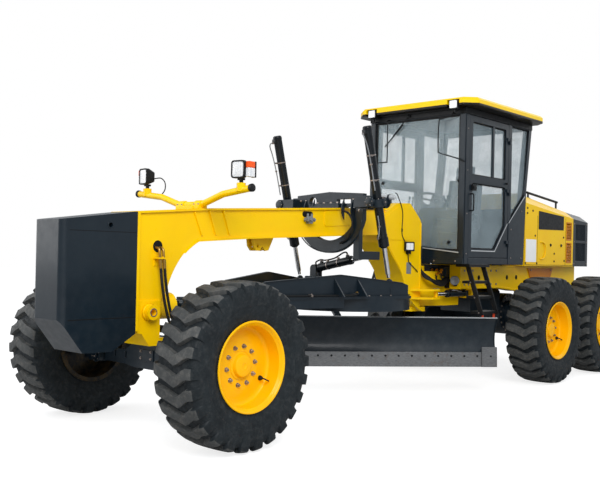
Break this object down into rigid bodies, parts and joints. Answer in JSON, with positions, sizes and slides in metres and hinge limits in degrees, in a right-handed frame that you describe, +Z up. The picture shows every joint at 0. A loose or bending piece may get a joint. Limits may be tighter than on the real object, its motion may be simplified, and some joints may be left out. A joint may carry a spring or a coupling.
{
  "type": "motor grader",
  "caption": "Yellow and charcoal articulated motor grader: long gooseneck frame with a turning blade below it, glazed cab, rear engine hood, leaning front wheels and tandem rear wheels.",
  "frame": {"origin": "on the ground, below the middle of the machine's length and width", "axes": "-Y is the front (the nose), +X the machine's left, +Z up"},
  "size_m": [2.599, 8.9, 3.47],
  "materials": {
    "yellow_paint": "satin",
    "charcoal_paint": "satin",
    "tyre_rubber": "matte",
    "chrome_rod": "polished",
    "edge_steel": "worn",
    "black_plastic": "matte",
    "cab_glass": "clear",
    "seat_fabric": "woven"
  },
  "bodies": {
    "rear_frame": {"rear_frame": "yellow_paint", "tandem_drive": "charcoal_paint", "transmission": "charcoal_paint", "cab_body": "charcoal_paint", "cab_roof": "yellow_paint", "cab_glass": "cab_glass", "operator_seat": "seat_fabric", "console": "black_plastic", "hood": "yellow_paint", "engine": "charcoal_paint", "grille": "charcoal_paint", "ladders": "black_plastic"},
    "front_frame": {"front_frame": "yellow_paint", "nose_leg": "yellow_paint", "counterweight": "charcoal_paint", "lamp_bar": "yellow_paint", "front_lamps": "black_plastic", "saddle": "charcoal_paint", "front_axle": "charcoal_paint"},
    "lean_left": {"lean_bracket_left": "charcoal_paint"},
    "lean_right": {"lean_bracket_right": "charcoal_paint"},
    "knuckle_left": {"knuckle_left": "charcoal_paint"},
    "knuckle_right": {"knuckle_right": "charcoal_paint"},
    "lean_bar": {"lean_bar": "charcoal_paint"},
    "tie_rod": {"tie_rod": "charcoal_paint"},
    "wheel_front_left": {"tyre_front_left": "tyre_rubber", "rim_front_left": "yellow_paint"},
    "wheel_front_right": {"tyre_front_right": "tyre_rubber", "rim_front_right": "yellow_paint"},
    "wheel_mid_left": {"tyre_mid_left": "tyre_rubber", "rim_mid_left": "yellow_paint"},
    "wheel_mid_right": {"tyre_mid_right": "tyre_rubber", "rim_mid_right": "yellow_paint"},
    "wheel_rear_left": {"tyre_rear_left": "tyre_rubber", "rim_rear_left": "yellow_paint"},
    "wheel_rear_right": {"tyre_rear_right": "tyre_rubber", "rim_rear_right": "yellow_paint"},
    "door_left": {"door_left": "charcoal_paint"},
    "door_right": {"door_right": "charcoal_paint"},
    "drawbar_ball": {"drawbar_ball": "charcoal_paint"},
    "drawbar": {"drawbar": "charcoal_paint"},
    "circle": {"circle": "charcoal_paint"},
    "blade_carrier": {"blade_carrier": "charcoal_paint"},
    "blade": {"blade": "charcoal_paint", "cutting_edge": "edge_steel"},
    "tip_barrel": {"tip_barrel": "charcoal_paint"},
    "tip_rod": {"tip_rod": "chrome_rod"},
    "centre_barrel": {"centre_barrel": "charcoal_paint"},
    "centre_rod": {"centre_rod": "chrome_rod"},
    "lift_yoke_left": {"lift_yoke_left": "charcoal_paint"},
    "lift_barrel_left": {"lift_barrel_left": "charcoal_paint"},
    "lift_rod_left": {"lift_rod_left": "chrome_rod"},
    "articulation_barrel_left": {"articulation_barrel_left": "charcoal_paint"},
    "articulation_rod_left": {"articulation_rod_left": "chrome_rod"},
    "lift_yoke_right": {"lift_yoke_right": "charcoal_paint"},
    "lift_barrel_right": {"lift_barrel_right": "charcoal_paint"},
    "lift_rod_right": {"lift_rod_right": "chrome_rod"},
    "articulation_barrel_right": {"articulation_barrel_right": "charcoal_paint"},
    "articulation_rod_right": {"articulation_rod_right": "chrome_rod"}
  },
  "joints": [
    {"name": "articulation", "type": "hinge", "parent": "rear_frame", "child": "front_frame", "pos_m": [0, 0.65, 1.12], "axis": [0, 0, 1], "range_deg": [-27, 27]},
    {"name": "articulation_barrel_left_pin", "type": "hinge", "parent": "rear_frame", "child": "articulation_barrel_left", "pos_m": [0.33, 1.33, 1.12], "axis": [0, 0, 1], "range_deg": [-1, 1]},
    {"name": "articulation_rod_left_slide", "type": "slide", "parent": "articulation_barrel_left", "child": "articulation_rod_left", "axis": [0, 1, 0], "range_m": [-0.152, 0.152]},
    {"name": "wheel_lean_left", "type": "hinge", "parent": "front_frame", "child": "lean_left", "pos_m": [0.7, -3.4, 0.6], "axis": [0, 1, 0], "range_deg": [-17, 17]},
    {"name": "steer_left", "type": "hinge", "parent": "lean_left", "child": "knuckle_left", "pos_m": [0.85, -3.4, 0.674], "axis": [0, 0, 1], "range_deg": [-50, 50]},
    {"name": "articulation_barrel_right_pin", "type": "hinge", "parent": "rear_frame", "child": "articulation_barrel_right", "pos_m": [-0.33, 1.33, 1.12], "axis": [0, 0, 1], "range_deg": [-1, 1]},
    {"name": "articulation_rod_right_slide", "type": "slide", "parent": "articulation_barrel_right", "child": "articulation_rod_right", "axis": [0, 1, 0], "range_m": [-0.152, 0.152]},
    {"name": "wheel_lean_right", "type": "hinge", "parent": "front_frame", "child": "lean_right", "pos_m": [-0.7, -3.4, 0.6], "axis": [0, 1, 0], "range_deg": [-17, 17]},
    {"name": "steer_right", "type": "hinge", "parent": "lean_right", "child": "knuckle_right", "pos_m": [-0.85, -3.4, 0.674], "axis": [0, 0, 1], "range_deg": [-50, 50]},
    {"name": "lean_bar_slide", "type": "slide", "parent": "front_frame", "child": "lean_bar", "axis": [1, 0, 0], "range_m": [-0.083, 0.083]},
    {"name": "tie_rod_slide", "type": "slide", "parent": "front_frame", "child": "tie_rod", "axis": [1, 0, 0], "range_m": [-0.101, 0.101]},
    {"name": "spin_front_left", "type": "hinge", "parent": "knuckle_left", "child": "wheel_front_left", "pos_m": [1.0775, -3.4, 0.674], "axis": [1, 0, 0], "continuous": true},
    {"name": "spin_front_right", "type": "hinge", "parent": "knuckle_right", "child": "wheel_front_right", "pos_m": [-1.0775, -3.4, 0.674], "axis": [1, 0, 0], "continuous": true},
    {"name": "spin_mid_left", "type": "hinge", "parent": "rear_frame", "child": "wheel_mid_left", "pos_m": [1.0775, 2.05, 0.674], "axis": [1, 0, 0], "continuous": true},
    {"name": "spin_mid_right", "type": "hinge", "parent": "rear_frame", "child": "wheel_mid_right", "pos_m": [-1.0775, 2.05, 0.674], "axis": [1, 0, 0], "continuous": true},
    {"name": "spin_rear_left", "type": "hinge", "parent": "rear_frame", "child": "wheel_rear_left", "pos_m": [1.0775, 3.588, 0.674], "axis": [1, 0, 0], "continuous": true},
    {"name": "spin_rear_right", "type": "hinge", "parent": "rear_frame", "child": "wheel_rear_right", "pos_m": [-1.0775, 3.588, 0.674], "axis": [1, 0, 0], "continuous": true},
    {"name": "drawbar_side", "type": "hinge", "parent": "front_frame", "child": "drawbar_ball", "pos_m": [0, -3.23, 1.08], "axis": [0, 0, 1], "range_deg": [-5, 5]},
    {"name": "drawbar_lift", "type": "hinge", "parent": "drawbar_ball", "child": "drawbar", "pos_m": [0, -3.11, 1.08], "axis": [1, 0, 0], "range_deg": [-22, 2.6]},
    {"name": "lift_yoke_left_swing", "type": "hinge", "parent": "front_frame", "child": "lift_yoke_left", "pos_m": [0.642, -0.98, 2.13], "axis": [0, 1, 0], "range_deg": [-15, 15]},
    {"name": "lift_barrel_left_pitch", "type": "hinge", "parent": "lift_yoke_left", "child": "lift_barrel_left", "pos_m": [0.642, -0.98, 2.13], "axis": [1, 0, 0], "range_deg": [-11, 1.5]},
    {"name": "lift_rod_left_slide", "type": "slide", "parent": "lift_barrel_left", "child": "lift_rod_left", "axis": [0, 0.2641, -0.9645], "range_m": [-0.106, 0.88]},
    {"name": "lift_yoke_right_swing", "type": "hinge", "parent": "front_frame", "child": "lift_yoke_right", "pos_m": [-0.642, -0.98, 2.13], "axis": [0, 1, 0], "range_deg": [-15, 15]},
    {"name": "lift_barrel_right_pitch", "type": "hinge", "parent": "lift_yoke_right", "child": "lift_barrel_right", "pos_m": [-0.642, -0.98, 2.13], "axis": [1, 0, 0], "range_deg": [-11, 1.5]},
    {"name": "lift_rod_right_slide", "type": "slide", "parent": "lift_barrel_right", "child": "lift_rod_right", "axis": [0, 0.2641, -0.9645], "range_m": [-0.106, 0.88]},
    {"name": "centre_barrel_pin", "type": "hinge", "parent": "drawbar", "child": "centre_barrel", "pos_m": [-0.45, -0.69, 1.41], "axis": [0, 1, 0], "range_deg": [-43.2, 5.5]},
    {"name": "centre_rod_slide", "type": "slide", "parent": "centre_barrel", "child": "centre_rod", "axis": [0.9796, 0, 0.2009], "range_m": [-0.218, 0.218]},
    {"name": "circle_turn", "type": "hinge", "parent": "drawbar", "child": "circle", "pos_m": [0, -0.75, 1.03], "axis": [0, 0, 1], "continuous": true},
    {"name": "blade_tip", "type": "hinge", "parent": "circle", "child": "blade_carrier", "pos_m": [-0.12257, -0.64715, 0.56], "axis": [0.6428, 0.766, 0], "range_deg": [-5, 40]},
    {"name": "tip_barrel_pin", "type": "hinge", "parent": "circle", "child": "tip_barrel", "pos_m": [-0.42898, -0.39004, 0.94], "axis": [0.6428, 0.766, 0], "range_deg": [-1, 7]},
    {"name": "tip_rod_slide", "type": "slide", "parent": "tip_barrel", "child": "tip_rod", "axis": [0.7474, -0.6272, -0.219], "range_m": [-0.024, 0.184]},
    {"name": "blade_shift", "type": "slide", "parent": "blade_carrier", "child": "blade", "axis": [0.6428, 0.766, 0], "range_m": [-0.5, 0.5]},
    {"name": "door_left_hinge", "type": "hinge", "parent": "rear_frame", "child": "door_left", "pos_m": [0.714, 1.723, 2.4], "axis": [0, 0, 1], "range_deg": [0, 80]},
    {"name": "door_right_hinge", "type": "hinge", "parent": "rear_frame", "child": "door_right", "pos_m": [-0.714, 1.723, 2.4], "axis": [0, 0, -1], "range_deg": [0, 80]}
  ],
  "couplings": [
    {"joint": "articulation_barrel_left_pin", "follows": "articulation", "ratio": -0.026},
    {"joint": "articulation_rod_left_slide", "follows": "articulation", "m_per_rad": 0.3175},
    {"joint": "articulation_barrel_right_pin", "follows": "articulation", "ratio": -0.026},
    {"joint": "articulation_rod_right_slide", "follows": "articulation", "m_per_rad": -0.3175},
    {"joint": "wheel_lean_right", "follows": "wheel_lean_left", "ratio": 1},
    {"joint": "steer_right", "follows": "steer_left", "ratio": 1},
    {"joint": "lean_bar_slide", "follows": "wheel_lean_left", "m_per_rad": 0.276},
    {"joint": "tie_rod_slide", "follows": "steer_left", "m_per_rad": -0.1141},
    {"joint": "lift_yoke_left_swing", "follows": "drawbar_side", "ratio": 2.886},
    {"joint": "lift_barrel_left_pitch", "follows": "drawbar_lift", "ratio": 0.49},
    {"joint": "lift_rod_left_slide", "follows": "drawbar_lift", "m_per_rad": -2.276},
    {"joint": "lift_yoke_right_swing", "follows": "drawbar_side", "ratio": 2.886},
    {"joint": "lift_barrel_right_pitch", "follows": "drawbar_lift", "ratio": 0.49},
    {"joint": "lift_rod_right_slide", "follows": "drawbar_lift", "m_per_rad": -2.276},
    {"joint": "centre_barrel_pin", "follows": "drawbar_lift", "ratio": 1.947},
    {"joint": "centre_rod_slide", "follows": "drawbar_side", "m_per_rad": 2.483},
    {"joint": "tip_barrel_pin", "follows": "blade_tip", "ratio": 0.165},
    {"joint": "tip_rod_slide", "follows": "blade_tip", "m_per_rad": 0.262}
  ]
}
